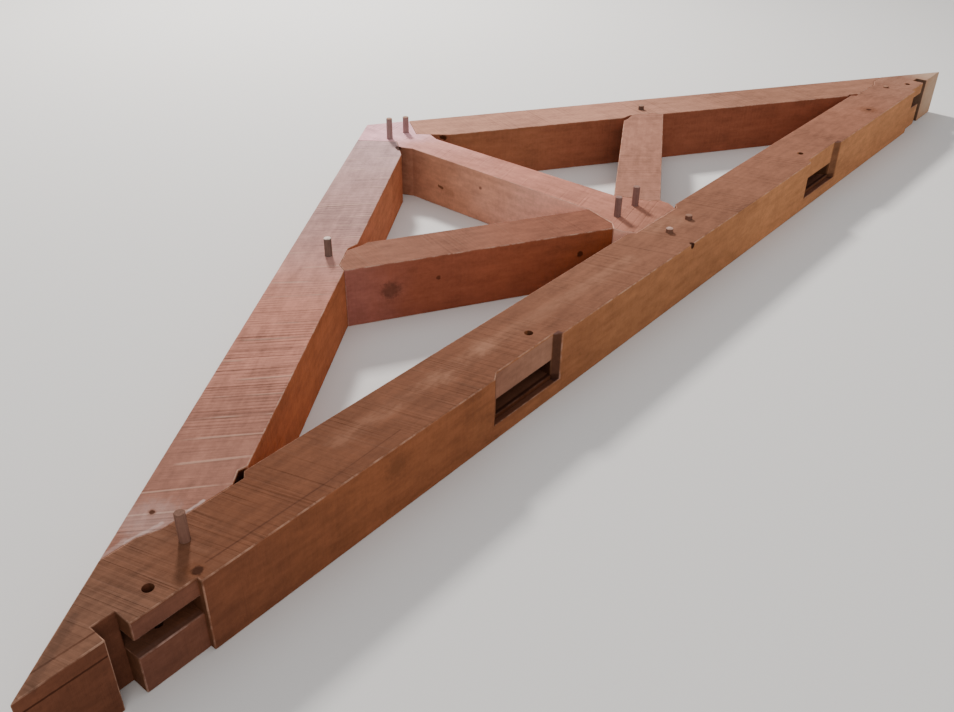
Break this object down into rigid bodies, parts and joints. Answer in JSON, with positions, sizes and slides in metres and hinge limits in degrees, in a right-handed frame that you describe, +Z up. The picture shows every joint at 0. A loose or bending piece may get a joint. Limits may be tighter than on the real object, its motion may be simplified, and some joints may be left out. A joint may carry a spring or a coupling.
{
  "type": "roof truss",
  "caption": "Pegged king-post roof truss of sawn timber with a joggled post and two struts, lying flat; its tie beam is mortised for wall posts and braces.",
  "frame": {"origin": "bottom centre of the bounding box, on the face that the truss lies on", "axes": "+X along the tie beam, +Y in the plane of the truss from the tie beam to the apex, +Z up through the thickness of the timbers"},
  "size_m": [4.829, 1.589, 0.2872],
  "materials": {
    "tie_wood": "rough-sawn, seasoned, unpainted",
    "rafter_wood": "rough-sawn, seasoned, unpainted",
    "post_wood": "rough-sawn, seasoned, unpainted",
    "strut_wood": "rough-sawn, seasoned, unpainted",
    "peg_wood": "turned, unpainted, paler than the timbers"
  },
  "bodies": {
    "root": {"king_post": "post_wood", "left_rafter": "rafter_wood", "left_strut": "strut_wood", "peg_apex_left": "peg_wood", "peg_apex_right": "peg_wood", "peg_heel_left": "peg_wood", "peg_heel_right": "peg_wood", "peg_king_post_left": "peg_wood", "peg_king_post_right": "peg_wood", "peg_strut_foot_left": "peg_wood", "peg_strut_foot_right": "peg_wood", "peg_strut_head_left": "peg_wood", "peg_strut_head_right": "peg_wood", "right_rafter": "rafter_wood", "right_strut": "strut_wood", "tie_beam": "tie_wood"}
  },
  "joints": []
}
